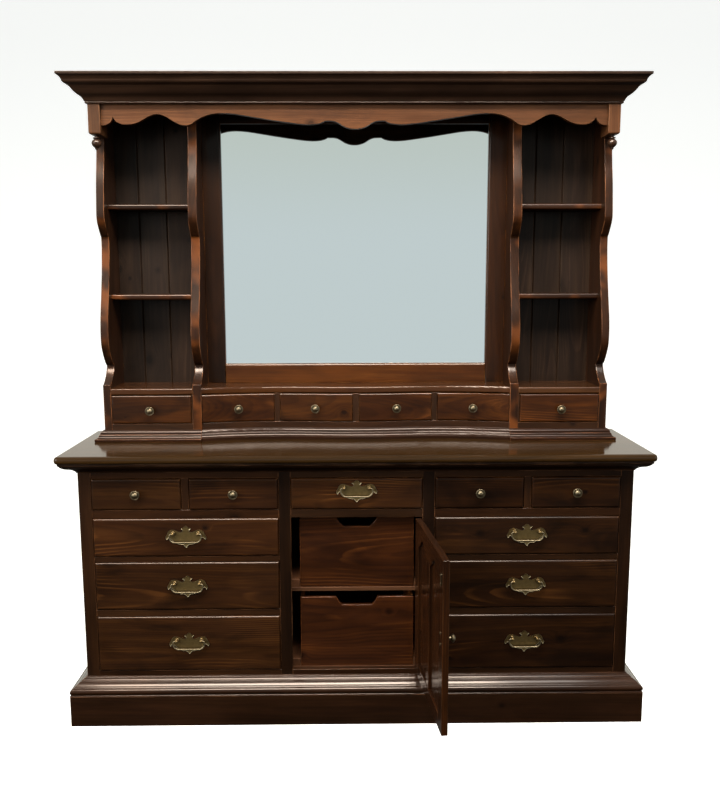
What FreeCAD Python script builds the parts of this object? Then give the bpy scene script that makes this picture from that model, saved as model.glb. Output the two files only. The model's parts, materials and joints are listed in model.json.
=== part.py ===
import FreeCAD, Part
import math, os, re

V = FreeCAD.Vector
Rot = FreeCAD.Rotation
Pl = FreeCAD.Placement

doc = FreeCAD.newDocument("dresser_with_hutch")
dims = doc.addObject("Spreadsheet::Sheet", "dims")

# Every length is in millimetres. X runs along the width, Y from the front to the back, Z up.
# In this list Y is counted from the front plane of the lower case; every finished piece is then moved by row_shift.
DIMS = [
    ("row_shift", 8.0, "moves the front plane so that the box of the whole object is centred on Y"),
    ("case_half", 842.0, "half width of the lower case"),
    ("case_back", 374.0, "back of the lower case"),
    ("case_high", 829.0, "top of the lower case, under the deck"),
    ("board", 20.0, "thickness of case sides and face frame"),
    ("deck_half", 896.0, "half width of the deck top"),
    ("deck_over", 53.0, "front overhang of the deck top"),
    ("deck_rear", 388.0, "back edge of the deck top"),
    ("deck_high", 852.0, "upper face of the deck top"),
    ("plinth_half", 886.0, "half width of the plinth"),
    ("plinth_out", 44.0, "plinth in front of the case"),
    ("plinth_high", 97.0, "height of the plinth boards"),
    ("stile_edge", 803.5, "inner edge of the outer stiles"),
    ("bay_far", 531.0, "outer edge of the small dividers of the top row"),
    ("bay_near", 509.5, "inner edge of the small dividers of the top row"),
    ("stack_near", 237.5, "outer edge of the centre stiles"),
    ("center_half", 201.0, "half width of the centre opening"),
    ("level_floor", 161.5, "lower edge of the lowest openings"),
    ("low_top", 339.5, "top of the lowest drawer openings"),
    ("mid_floor", 359.5, "floor of the middle drawer openings"),
    ("mid_top", 513.5, "top of the middle drawer openings"),
    ("high_floor", 530.5, "floor of the upper wide drawer openings"),
    ("high_top", 651.5, "top of the upper wide drawer openings and of the centre opening"),
    ("row_floor", 676.5, "floor of the top row openings"),
    ("row_top", 775.5, "top of the top row openings"),
    ("tray_shelf", 421.5, "upper face of the shelf under the upper tray"),
    ("dust", 12.0, "thickness of the dust boards"),
    ("gap", 1.5, "gap round a drawer front"),
    ("front_thick", 19.0, "thickness of a wide drawer front"),
    ("proud", 4.0, "how far a drawer front stands in front of the face frame"),
    ("side_thick", 12.0, "thickness of drawer sides"),
    ("drawer_end", 345.0, "back of the wide drawers"),
    ("hutch_half", 812.5, "half width of the hutch over its side panels"),
    ("hutch_front", 205.0, "front plane of the hutch drawer case"),
    ("hutch_rear", 382.0, "back of the hutch side panels"),
    ("panel_in", 787.5, "inner face of the outer scroll panels"),
    ("inner_far", 526.0, "tower side of the inner scroll panels"),
    ("inner_near", 498.0, "mirror side of the inner scroll panels"),
    ("hutch_floor", 907.0, "floor of the hutch drawer openings"),
    ("hutch_row_top", 1001.0, "top of the hutch drawer openings"),
    ("tower_floor", 1022.0, "upper face of the tower floors"),
    ("hutch_high", 1958.0, "top of the hutch side panels"),
    ("post_half", 38.1, "half the distance between the posts of a bail pull"),
]
P = {}
for i, (name, value, note) in enumerate(DIMS, 1):
    dims.set("A%d" % i, note)
    dims.set("B%d" % i, repr(value))
    dims.setAlias("B%d" % i, name)
    P[name] = value
doc.recompute()
NAMES = re.compile(r"\b(" + "|".join(sorted(P, key=len, reverse=True)) + r")\b")


def ex(value):
    """A number or an expression text, with the names of the sheet made into references."""
    if isinstance(value, (int, float)):
        return repr(float(value))
    return NAMES.sub(r"dims.\1", value)


count = [0]


def new(kind, stem):
    count[0] += 1
    return doc.addObject(kind, "%s_%d" % (stem, count[0]))


def box(x0, x1, y0, y1, z0, z1, stem="board"):
    o = new("Part::Box", stem)
    for prop, a, b in (("Length", x0, x1), ("Width", y0, y1), ("Height", z0, z1)):
        o.setExpression(prop, "(%s)-(%s)" % (ex(b), ex(a)))
    for axis, a in (("x", x0), ("y", y0), ("z", z0)):
        o.setExpression("Placement.Base.%s" % axis, ex(a))
    return o


def ready(o):
    doc.recompute([o])
    return o


def rounded(o, pick, r):
    """Rounds the edges of o that pick(bounding box) chooses."""
    ready(o)
    edges = [(i, r, r) for i, e in enumerate(o.Shape.Edges, 1) if pick(e.BoundBox)]
    f = new("Part::Fillet", "rounded")
    f.Base = o
    f.Edges = edges
    return ready(f)


def chamfered(o, pick, r):
    ready(o)
    edges = [(i, r, r) for i, e in enumerate(o.Shape.Edges, 1) if pick(e.BoundBox)]
    f = new("Part::Chamfer", "chamfered")
    f.Base = o
    f.Edges = edges
    return ready(f)


def near(a, b, tol=0.05):
    return abs(a - b) < tol


def cut(a, b):
    o = new("Part::Cut", "cut")
    o.Base, o.Tool = a, b
    return o


def common(a, b):
    o = new("Part::Common", "common")
    o.Base, o.Tool = a, b
    return o


def fuse(*objs):
    o = new("Part::MultiFuse", "joined")
    o.Shapes = list(objs)
    return o


def arc3(a, m, b):
    """An arc of a circle through three points of a sketch plane."""
    ax, ay, mx, my, bx, by = a[0], a[1], m[0], m[1], b[0], b[1]
    d = 2 * (ax * (my - by) + mx * (by - ay) + bx * (ay - my))
    ux = ((ax * ax + ay * ay) * (my - by) + (mx * mx + my * my) * (by - ay) + (bx * bx + by * by) * (ay - my)) / d
    uy = ((ax * ax + ay * ay) * (bx - mx) + (mx * mx + my * my) * (ax - bx) + (bx * bx + by * by) * (mx - ax)) / d
    r = math.hypot(ax - ux, ay - uy)
    t0 = math.atan2(ay - uy, ax - ux)
    tm = math.atan2(my - uy, mx - ux)
    t1 = math.atan2(by - uy, bx - ux)
    circle = Part.Circle(V(ux, uy, 0), V(0, 0, 1), r)
    full = 2 * math.pi
    if (tm - t0) % full < (t1 - t0) % full:
        return Part.ArcOfCircle(circle, t0, t0 + (t1 - t0) % full)
    return Part.ArcOfCircle(circle, t1, t1 + (t0 - t1) % full)


def outline(path, close=True):
    """Sketch geometry of a path: ("M", p), ("L", p), ("A", middle, p) and ("S", p, p, ...) with splines through points."""
    start = at = path[0][1]
    out = []
    for step in path[1:]:
        if step[0] == "L":
            if math.dist(at, step[1]) > 1e-6:
                out.append(Part.LineSegment(V(at[0], at[1], 0), V(step[1][0], step[1][1], 0)))
        elif step[0] == "A":
            out.append(arc3(at, step[1], step[2]))
        else:
            curve = Part.BSplineCurve()
            curve.interpolate([V(p[0], p[1], 0) for p in (at,) + tuple(step[1:])])
            out.append(curve)
        at = step[-1]
    if close and math.dist(at, start) > 1e-6:
        out.append(Part.LineSegment(V(at[0], at[1], 0), V(start[0], start[1], 0)))
    return out


def dome(r, h, top, out=False):
    """The step of a turned profile that closes it with part of a sphere, from (r, h) to the axis at top."""
    rise = top - h
    R = (r * r + rise * rise) / (2 * abs(rise))
    c = top - math.copysign(R, rise)
    t0 = math.atan2(h - c, r)
    t1 = math.copysign(math.pi / 2, rise)
    tm = (t0 + t1) / 2
    return ("A", (R * math.cos(tm), c + R * math.sin(tm)), (0.0, top))


def mapped(path, f):
    return [(s[0],) + tuple(f(*p) for p in s[1:]) for s in path]


PLANES = {
    "XY": Rot(V(1, 0, 0), V(0, 1, 0), V(0, 0, 1), "ZXY"),
    "XZ": Rot(V(1, 0, 0), V(0, 0, 1), V(0, -1, 0), "ZXY"),
    "YZ": Rot(V(0, 1, 0), V(0, 0, 1), V(1, 0, 0), "ZXY"),
}


def sketch(path, base, rot, close=True):
    s = new("Sketcher::SketchObject", "outline")
    s.Placement = Pl(base, rot)
    s.addGeometry(outline(path, close), False)
    return s


def prism(path, plane, start, length, stem="shaped"):
    """A closed path pushed from start along the plane's normal: XY goes up, YZ to the right, XZ to the front."""
    base = {"XY": V(0, 0, start), "XZ": V(0, start, 0), "YZ": V(start, 0, 0)}[plane]
    s = sketch(path, base, PLANES[plane])
    e = new("Part::Extrusion", stem)
    e.Base = s
    e.DirMode = "Normal"
    e.setExpression("LengthFwd", ex(length))
    e.Solid = True
    return e


def turned(path, base, x_dir, axis, stem="turned"):
    """A closed path of (radius, height) turned about axis through base."""
    side = V(x_dir)
    up = V(axis)
    s = sketch(path, base, Rot(side, up, side.cross(up), "ZXY"))
    r = new("Part::Revolution", stem)
    r.Source = s
    r.Axis = up
    r.Base = base
    r.Angle = 360
    r.Solid = True
    return r


def cylinder(base, axis, r, h):
    o = new("Part::Cylinder", "round")
    o.Radius = r
    o.Height = h
    o.Placement = Pl(base, Rot(V(0, 0, 1), V(axis)))
    return o


nodes = {}


def node(name, parts, place=None):
    """One named piece of the object, with its solids kept apart."""
    c = doc.addObject("Part::Compound", name)
    c.Links = list(parts)
    c.Label = name
    if place is None:
        c.setExpression("Placement.Base.y", "dims.row_shift")
    else:
        c.Placement = place
    nodes[name] = c
    return c


def moulding(path, half, face, back, out, inside=0.0, low=0.0, high=2100.0, behind=0.0):
    """A profile of (projection, height) run across the front and back along both sides, mitred at the corners."""
    front = prism(mapped(path, lambda p, z: (face - p, z)), "YZ", -(half + out + 5), 2 * (half + out + 5))
    plan = [("M", (-(half + out), face - out)), ("L", (half + out, face - out)), ("L", (half + inside, face - inside))]
    if behind:
        plan += [("L", (half, face + behind)), ("L", (-half, face + behind))]
    plan.append(("L", (-(half + inside), face - inside)))
    pieces = [common(front, prism(plan, "XY", low, high - low))]
    return pieces


def returns(path, half, face, back, out, low=0.0, high=2100.0):
    pieces = []
    for side in (-1, 1):
        run = prism(mapped(path, lambda p, z: (side * (half + p), z)), "XZ", back, back - face + out + 5)
        plan = [("M", (side * (half + out), face - out)), ("L", (side * (half + out), back)), ("L", (side * half, back)), ("L", (side * half, face))]
        pieces.append(common(run, prism(plan, "XY", low, high - low)))
    return pieces


# ---------------------------------------------------------------- lower case
parts = []
for s in ("", "-"):
    lo, hi = ("case_half-board", "case_half") if s == "" else ("-case_half", "-case_half+board")
    parts.append(box(lo, hi, "board", "case_back", 0, "case_high"))
    lo, hi = ("stack_near-28", "stack_near-10") if s == "" else ("-stack_near+10", "-stack_near+28")
    parts.append(box(lo, hi, "board", "case_back-6", 60, "case_high"))
    lo, hi = ("bay_near+4", "bay_far-4") if s == "" else ("-bay_far+4", "-bay_near-4")
    parts.append(box(lo, hi, "board", "case_back-6", "row_floor", "case_high"))
    # guides beside the trays
    lo, hi = ("178", "stack_near-28") if s == "" else ("-stack_near+28", "-178")
    for floor in ("level_floor", "tray_shelf"):
        parts.append(box(lo, hi, 24, 358, floor, floor + "+24"))
parts.append(box("-case_half+board", "case_half-board", "case_back-6", "case_back", 60, "case_high"))
wide_l = ("-case_half+board", "-stack_near+10")
middle = ("-stack_near+28", "stack_near-28")
wide_r = ("stack_near-10", "case_half-board")
for lo, hi in (wide_l, wide_r):
    for top in ("level_floor", "mid_floor", "high_floor", "row_floor"):
        parts.append(box(lo, hi, "board", "case_back-6", top + "-dust", top))
for top in ("level_floor", "tray_shelf", "row_floor"):
    parts.append(box(middle[0], middle[1], "board", "case_back-6", top + "-dust", top))
node("case_carcass", parts)

parts = []
for s in (-1, 1):
    def span(a, b):
        return (a, b) if s > 0 else ("-(%s)" % b, "-(%s)" % a)
    parts.append(box(*span("stile_edge", "case_half"), 0, "board", 0, "case_high", stem="stile"))
    parts.append(box(*span("center_half", "stack_near"), 0, "board", 0, "case_high", stem="stile"))
    parts.append(box(*span("bay_near", "bay_far"), 0, "board", "row_floor", "row_top", stem="stile"))
    parts.append(box(*span("stack_near", "stile_edge"), 0, "board", "row_top", "case_high", stem="rail"))
    parts.append(box(*span("stack_near", "stile_edge"), 0, "board", "high_top", "row_floor", stem="rail"))
    parts.append(box(*span("stack_near", "stile_edge"), 0, "board", "mid_top", "high_floor", stem="rail"))
    parts.append(box(*span("stack_near", "stile_edge"), 0, "board", "low_top", "mid_floor", stem="rail"))
    parts.append(box(*span("stack_near", "stile_edge"), 0, "board", 60, "level_floor", stem="rail"))
parts.append(box("-center_half", "center_half", 0, "board", "row_top", "case_high", stem="rail"))
parts.append(box("-center_half", "center_half", 0, "board", "high_top", "row_floor", stem="rail"))
parts.append(box("-center_half", "center_half", 0, "board", 60, "level_floor", stem="rail"))
node("face_frame", parts)

# plinth: boards with mitred front corners, glue blocks behind them and the stepped cap moulding on top
out, half = P["plinth_out"], P["case_half"]
flat = [("M", (out - 20, 0.0)), ("L", (out, 0.0)), ("L", (out, P["plinth_high"])), ("L", (out - 20, P["plinth_high"]))]
parts = moulding(flat, half, 0.0, 0.0, out, inside=out - 20, low=-5, high=200)
for side in (-1, 1):
    run = prism(mapped(flat, lambda p, z: (side * (half + p), z)), "XZ", P["case_back"], P["case_back"] + out + 5)
    plan = [("M", (side * (half + out), -out)), ("L", (side * (half + out), P["case_back"])), ("L", (side * (half + out - 20), P["case_back"])), ("L", (side * (half + out - 20), -(out - 20)))]
    parts.append(common(run, prism(plan, "XY", -5, 205)))
for x in (-760, -300, 300, 760):
    parts.append(box(x - 25, x + 25, "-plinth_out+20", 0, 12, "plinth_high-6", stem="block"))
for x0, x1 in (("case_half", "case_half+plinth_out-20"), ("-case_half-plinth_out+20", "-case_half")):
    for y in (60, 300):
        parts.append(box(x0, x1, y, y + 50, 12, "plinth_high-6", stem="block"))
cap = [
    ("M", (0.0, 97.0)), ("L", (44.0, 97.0)), ("A", (43.4, 99.6), (41.0, 100.6)), ("L", (38.8, 101.0)), ("A", (44.0, 109.4), (38.4, 119.0)), ("L", (34.8, 120.0)),
    ("L", (33.0, 121.6)), ("A", (26.8, 128.2), (18.8, 133.4)), ("L", (15.0, 134.4)), ("L", (14.4, 136.8)), ("A", (9.4, 140.8), (4.6, 142.4)), ("L", (3.4, 145.4)), ("L", (0.0, 145.6)),
]
parts += moulding(cap, half, 0.0, 0.0, out, low=50, high=200)
parts += returns(cap, half, 0.0, P["case_back"], out, low=50, high=200)
node("plinth", parts)

# deck top with a rounded edge and the cove moulding below it
top = box("-deck_half", "deck_half", "-deck_over", "deck_rear", "case_high", "deck_high", stem="deck")
W2, F, B2, T0, T1 = P["deck_half"], -P["deck_over"], P["deck_rear"], P["case_high"], P["deck_high"]
top = rounded(top, lambda b: (near(b.YMin, F) and b.YMax < F + 1 and near(b.ZMin, T0) and near(b.ZMax, T1)), 12.0)
top = rounded(top, lambda b: near(b.ZMin, T1) and near(b.ZMax, T1) and not near(b.YMin, B2), 11.0)
top = rounded(top, lambda b: near(b.ZMin, T0) and near(b.ZMax, T0) and not near(b.YMin, B2), 9.0)
cove = [
    ("M", (0.0, 794.0)), ("L", (3.4, 794.0)), ("L", (3.4, 797.6)), ("L", (5.2, 798.4)), ("A", (12.4, 804.6), (21.6, 808.2)),
    ("A", (32.6, 812.4), (41.0, 819.4)), ("L", (42.0, 821.6)), ("L", (45.0, 823.4)), ("L", (45.0, 829.0)), ("L", (0.0, 829.0)),
]
parts = [top] + moulding(cove, half, 0.0, 0.0, 45.0, low=700, high=900) + returns(cove, half, 0.0, P["case_back"], 45.0, low=700, high=900)
node("deck_top", parts)


# ---------------------------------------------------------------- drawers
def drawer(name, x0, x1, z0, z1, front=None):
    """A drawer in the lower case for the opening x0..x1, z0..z1."""
    f = box(x0 + "+gap", x1 + "-gap", "-proud", "front_thick-proud", z0 + "+gap", z1 + "-gap", stem="front")
    ready(f)
    y = -P["proud"]
    f = rounded(f, lambda b: near(b.YMin, y) and near(b.YMax, y), 6.0)
    back, top = "drawer_end", z1 + "-14"
    parts = [f]
    parts.append(box(x0 + "+5", x0 + "+5+side_thick", "front_thick-proud", back, z0 + "+1", top, stem="side"))
    parts.append(box(x1 + "-5-side_thick", x1 + "-5", "front_thick-proud", back, z0 + "+1", top, stem="side"))
    parts.append(box(x0 + "+5+side_thick", x1 + "-5-side_thick", back + "-side_thick", back, z0 + "+14", top + "-6", stem="back"))
    parts.append(box(x0 + "+5+side_thick", x1 + "-5-side_thick", "front_thick-proud", back, z0 + "+8", z0 + "+14", stem="bottom"))
    return node(name, parts)


drawer("drawer_top_far_left", "-stile_edge", "-bay_far", "row_floor", "row_top")
drawer("drawer_top_left", "-bay_near", "-stack_near", "row_floor", "row_top")
drawer("drawer_top_center", "-center_half", "center_half", "row_floor", "row_top")
drawer("drawer_top_right", "stack_near", "bay_near", "row_floor", "row_top")
drawer("drawer_top_far_right", "bay_far", "stile_edge", "row_floor", "row_top")
for side, x0, x1 in (("left", "-stile_edge", "-stack_near"), ("right", "stack_near", "stile_edge")):
    drawer("drawer_%s_upper" % side, x0, x1, "high_floor", "high_top")
    drawer("drawer_%s_middle" % side, x0, x1, "mid_floor", "mid_top")
    drawer("drawer_%s_lower" % side, x0, x1, "level_floor", "low_top")


def tray(name, z0, z1, notch):
    """A pull-out tray; its front has a finger notch in the upper edge."""
    h = 176.0
    (a, b), (c, d), (e, g) = notch
    path = [
        ("M", (-h, z0)), ("L", (h, z0)), ("L", (h, z1 - 2.5)), ("A", (h - 0.7, z1 - 0.7), (h - 2.5, z1)), ("L", (a + 3, z1)), ("A", (a + 0.4, z1 - 0.8), (a - 1.5, z1 - 3.2)),
        ("A", (b, z1 - c), (d, z1 - e)), ("L", (-d, z1 - e)), ("A", (-b, z1 - c), (-a + 1.5, z1 - 3.2)), ("A", (-a - 0.4, z1 - 0.8), (-a - 3, z1)), ("L", (-h + 2.5, z1)), ("A", (-h + 0.7, z1 - 0.7), (-h, z1 - 2.5)),
    ]
    f = prism(path, "XZ", 40.0, 16.0, stem="front")
    parts = [f]
    for s in (-1, 1):
        lo, hi = (h - 12, h) if s > 0 else (-h, -h + 12)
        side = box(lo, hi, 40, 355, z0, z1, stem="side")
        side = rounded(side, lambda b: near(b.ZMin, z1) and near(b.ZMax, z1) and b.YLength > 100, 3.0)
        parts.append(side)
    parts.append(box(-h + 12, h - 12, 343, 355, z0 + 14, z1 - 6, stem="back"))
    parts.append(box(-h + 12, h - 12, 40, 355, z0 + 8, z0 + 14, stem="bottom"))
    return node(name, parts)


tray("tray_upper", 422.5, 645.0, ((64.0, 53.0), (18.0, 38.0), (30.5, 0)))
tray("tray_lower", 163.0, 388.5, ((64.0, 56.0), (16.5, 46.0), (26.5, 0)))


# ---------------------------------------------------------------- brass hardware of the drawers
def knob(name, x, y, z, tilt=0.0, size=1.0):
    """A mushroom knob with a collar and a ringed face; tilt turns it about Z to stand square on a curved front."""
    side = V(math.cos(tilt), math.sin(tilt), 0)
    axis = V(math.sin(tilt), -math.cos(tilt), 0)
    k = size
    path = [
        ("M", (0.0, 0.0)), ("L", (10.0 * k, 0.0)), ("L", (10.0 * k, 1.2 * k)), ("A", (8.6 * k, 3.0 * k), (6.6 * k, 3.4 * k)), ("A", (5.2 * k, 6.6 * k), (5.6 * k, 9.8 * k)),
        ("L", (8.6 * k, 11.2 * k)), ("L", (8.6 * k, 12.4 * k)), ("A", (12.6 * k, 14.0 * k), (14.0 * k, 17.0 * k)),
        ("A", (13.3 * k, 19.1 * k), (11.6 * k, 18.9 * k)), ("L", (10.5 * k, 18.2 * k)), dome(10.5 * k, 18.2 * k, 25.6 * k),
    ]
    return node(name, [turned(path, V(x, y, z), side, axis, stem="knob")])


yf = -P["proud"]
zk = 728.0
knob("knob_top_far_left", -(P["stile_edge"] + P["bay_far"]) / 2, yf, zk)
knob("knob_top_left", -(P["bay_near"] + P["stack_near"]) / 2, yf, zk)
knob("knob_top_right", (P["bay_near"] + P["stack_near"]) / 2, yf, zk)
knob("knob_top_far_right", (P["stile_edge"] + P["bay_far"]) / 2, yf, zk)

PLATE = [
    (0.0, 23.0), (5.0, 21.0), (8.0, 17.6), (11.4, 17.0), (15.0, 14.6), (11.6, 11.6), (9.4, 7.5), (12.5, 4.6), (19.0, 4.6), (26.0, 6.6), (33.5, 9.6),
    (41.5, 11.2), (49.0, 9.4), (54.2, 4.2), (56.6, -2.0), (60.4, -8.0), (61.6, -14.5), (58.4, -20.0), (55.2, -16.0), (51.4, -13.4), (46.0, -17.0),
    (38.5, -25.0), (28.0, -31.6), (16.0, -34.6), (8.8, -35.8), (4.6, -40.0), (0.0, -45.5),
]


def pull(tag, x, z):
    """A pierced-edge back plate with two round-headed posts, and the bail that swings in the heads."""
    f = -P["proud"]
    right = [(x + a, z + b) for a, b in PLATE]
    left = [(x - a, z + b) for a, b in reversed(PLATE)]
    path = [("M", right[0]), ("S",) + tuple(right[1:9]), ("S",) + tuple(right[9:18]), ("S",) + tuple(right[18:]), ("S",) + tuple(left[1:9]), ("S",) + tuple(left[9:18]), ("S",) + tuple(left[18:])]
    plate = prism(path, "XZ", f, 2.5, stem="plate")
    parts = [plate]
    pivot = f - 13.0
    for s in (-1, 1):
        c = V(x + s * P["post_half"], f - 2.5, z)
        prof = [
            ("M", (0.0, 0.0)), ("L", (6.8, 0.0)), ("A", (6.2, 1.6), (4.6, 2.2)), ("L", (3.8, 3.2)), ("L", (3.8, 6.524)),
            dome(3.8, 6.524, 16.0),
        ]
        post = turned(prof, c, V(1, 0, 0), V(0, -1, 0), stem="post")
        bore = cylinder(V(x + s * P["post_half"] - 10, pivot, z), V(1, 0, 0), 2.45, 20)
        parts.append(cut(post, bore))
    node("pull_plate_" + tag, parts)
    # the bail: round wire bent at two corners on each side, with a bead in the middle of the grip
    a, r1, r2, r = 43.6, 4.6, 17.0, 2.4
    e = a + r1
    wire = []
    for s in (-1, 1):
        wire.append(cylinder(V(x + s * 33.0, pivot, z), V(s, 0, 0), r, a - 33.0))
        wire.append(cylinder(V(x + s * e, pivot, z - 9.0), V(0, 0, 1), r, 9.0 - r1))
        for cx, cz, bend, start in ((a, -r1, r1, 90.0 if s < 0 else 0.0), (e - r2, -9.0, r2, 180.0 if s < 0 else 270.0)):
            corner = new("Part::Torus", "bend")
            corner.Radius1, corner.Radius2 = bend, r
            corner.Angle1, corner.Angle2, corner.Angle3 = -180.0, 180.0, 90.0
            corner.Placement = Pl(V(x + s * cx, pivot, z + cz), PLANES["XZ"] * Rot(V(0, 0, 1), start))
            wire.append(corner)
    wire.append(cylinder(V(x - e + r2, pivot, z - 9.0 - r2), V(1, 0, 0), r, 2 * (e - r2)))
    bead = new("Part::Sphere", "bead")
    bead.Radius = 3.1
    bead.Placement = Pl(V(x, pivot, z - 9.0 - r2), Rot(V(0, 0, 1), V(1, 0, 0)))
    wire.append(bead)
    node("bail_" + tag, [fuse(*wire)])


mid = (P["stile_edge"] + P["stack_near"]) / 2
pull("top_center", 0.0, 745.0)
for side, x in (("left", -mid), ("right", mid)):
    pull(side + "_upper", x, 605.0)
    pull(side + "_middle", x, 447.0)
    pull(side + "_lower", x, 263.0)

# ---------------------------------------------------------------- centre door, drawn shut and then swung open on its hinges
hx, hy = 199.5, -6.0
OPEN = 96.0
z0, z1 = 163.5, 649.5
swing = Pl(V(0, P["row_shift"], 0), Rot()) * Pl(V(0, 0, 0), Rot(V(0, 0, 1), OPEN), V(hx, hy, 0))
sill, spring, crown = 205.0, 577.0, 611.5


def arch(a, b, inset=0.0, spring_z=577.0, rise=34.5):
    """The pointed-shoulder arch over one panel, from x=b back to x=a."""
    w = b - a
    shape = [(0.0, 0.0), (0.1, 0.06), (0.24, 0.42), (0.38, 0.85), (0.5, 1.0), (0.62, 0.85), (0.76, 0.42), (0.9, 0.06), (1.0, 0.0)]
    return [(a + w * t, spring_z + rise * h) for t, h in shape]


L0, L1, R0, R1 = -152.5, -18.0, 18.0, 152.0
parts = [box(-198.5, L0, -3, 15, z0, z1, stem="stile"), box(R1, 198.0, -3, 15, z0, z1, stem="stile")]
parts.append(box(L0, R1, -3, 15, z0, sill, stem="rail"))
parts.append(box(L1, R0, -3, 15, sill, spring, stem="mullion"))
left_arch, right_arch = arch(L0, L1), arch(R0, R1)
head = [("M", (L0, z1)), ("L", (L0, spring)), ("S",) + tuple(left_arch[1:]), ("L", right_arch[0]), ("S",) + tuple(right_arch[1:]), ("L", (R1, z1))]
parts.append(prism(head, "XZ", 15.0, 18.0, stem="head_rail"))
node("door_frame", parts, swing)

parts = []
for a, b in ((L0, L1), (R0, R1)):
    edge = [("M", (a, sill)), ("L", (b, sill)), ("L", (b, spring)), ("S",) + tuple(reversed(arch(a, b)[:-1]))]
    flat = prism(edge, "XZ", 9.0, 6.0, stem="panel")
    m = 24.0
    inner = arch(a + m, b - m, spring_z=spring - 21.0, rise=33.0)
    field = [("M", (a + m, sill + m)), ("L", (b - m, sill + m)), ("L", inner[-1]), ("S",) + tuple(reversed(inner[:-1]))]
    raised = prism(field, "XZ", 3.0, 5.0, stem="field")
    parts.append(fuse(flat, raised))
node("door_panels", parts, swing)

door_leaf, case_leaf = [], []
for zc in (232.0, 581.0):
    hub = cylinder(V(hx, hy, zc + 0.1), V(0, 0, 1), 3.0, 29.9)
    plate = box(hx - 1.5, hx - 0.5, -1.5, 12, zc - 30, zc + 30, stem="leaf")
    web = box(hx - 1.5, hx - 0.5, hy, -1.0, zc + 0.1, zc + 30, stem="web")
    door_leaf.append(cut(fuse(hub, plate, web), cylinder(V(hx, hy, zc - 5), V(0, 0, 1), 1.55, 50)))
    hub = cylinder(V(hx, hy, zc - 30), V(0, 0, 1), 3.0, 29.9)
    plate = box(hx + 0.5, hx + 1.5, -1.5, 14, zc - 30, zc + 30, stem="leaf")
    web = box(hx + 0.5, hx + 1.5, hy, -1.0, zc - 30, zc - 0.1, stem="web")
    pin = cylinder(V(hx, hy, zc - 30), V(0, 0, 1), 1.5, 60)
    case_leaf.append(fuse(hub, plate, web, pin))
node("door_hinges", door_leaf, swing)
node("case_hinge_leaves", case_leaf)

# pull with a vertical back plate on the face of the door, its two screw heads and the catch strike on the inner face
px, pz = -172.5, 426.5
half_plate = [(0.0, 36.0), (5.0, 31.0), (4.0, 26.0), (9.0, 23.5), (13.0, 17.0), (12.0, 9.0), (15.5, 0.0), (12.0, -9.0), (13.0, -17.0), (9.0, -23.5), (4.0, -26.0), (5.0, -31.0), (0.0, -36.0)]
right = [(px + a, pz + b) for a, b in half_plate]
left = [(px - a, pz + b) for a, b in reversed(half_plate)]
path = [("M", right[0]), ("S",) + tuple(right[1:7]), ("S",) + tuple(right[7:]), ("S",) + tuple(left[1:7]), ("S",) + tuple(left[7:])]
parts = [prism(path, "XZ", -3.0, 2.2, stem="plate")]
prof = [("M", (0.0, 0.0)), ("L", (8.0, 0.0)), ("L", (8.0, 1.0)), ("A", (6.0, 2.6), (4.6, 3.4)), ("L", (4.8, 8.0)), ("A", (9.4, 10.0), (11.6, 13.8)), dome(11.6, 13.8, 21.0)]
parts.append(turned(prof, V(px, -5.2, pz), V(1, 0, 0), V(0, -1, 0), stem="knob"))
for z in (442.0, 411.0):
    prof = [("M", (0.0, 0.0)), ("L", (4.2, 0.0)), ("L", (4.2, 0.6)), dome(4.2, 0.6, 2.1)]
    parts.append(turned(prof, V(px, 15.0, z), V(1, 0, 0), V(0, 1, 0), stem="screw"))
strike = box(-182.5, -170.5, 15, 16.6, 575, 609, stem="strike")
parts.append(rounded(strike, lambda b: b.YLength > 1 and b.XLength < 0.1 and b.ZLength < 0.1, 3.0))
prof = [("M", (0.0, 0.0)), ("L", (3.6, 0.0)), ("L", (3.6, 0.4)), dome(3.6, 0.4, 1.9)]
for z in (580.5, 603.5):
    parts.append(turned(prof, V(-176.5, 16.6, z), V(1, 0, 0), V(0, 1, 0), stem="screw"))
node("door_hardware", parts, swing)

# ---------------------------------------------------------------- hutch
# the centre front of the drawer case is serpentine: hollow on both sides of a gentle swell
END, LOW, SWELL, XM, XE = 212.0, 247.0, 232.0, 250.0, 498.0
RH = ((LOW - END) ** 2 + (XE - XM) ** 2) / (2 * (LOW - END))
phi = 2 * math.atan((LOW - SWELL) / XM)
RS = XM / math.sin(phi) - RH
XA = RS * math.sin(phi)


def serp(x):
    a = abs(x)
    if a < XA:
        return SWELL + RS - math.sqrt(RS * RS - x * x)
    return LOW - RH + math.sqrt(RH * RH - (a - XM) ** 2)


def slope(x):
    """The angle of the serpentine line at x."""
    return math.atan((serp(x + 0.01) - serp(x - 0.01)) / 0.02)


def serp_arcs(x0, x1, dy):
    marks = [x0] + [m for m in (-XA, XA) if x0 + 0.5 < m < x1 - 0.5] + [x1]
    return [("A", ((a + b) / 2, serp((a + b) / 2) + dy), (b, serp(b) + dy)) for a, b in zip(marks, marks[1:])]


def serp_plan(x0, x1, dy, back):
    return [("M", (x0, serp(x0) + dy))] + serp_arcs(x0, x1, dy) + [("L", (x1, back)), ("L", (x0, back))]


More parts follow.
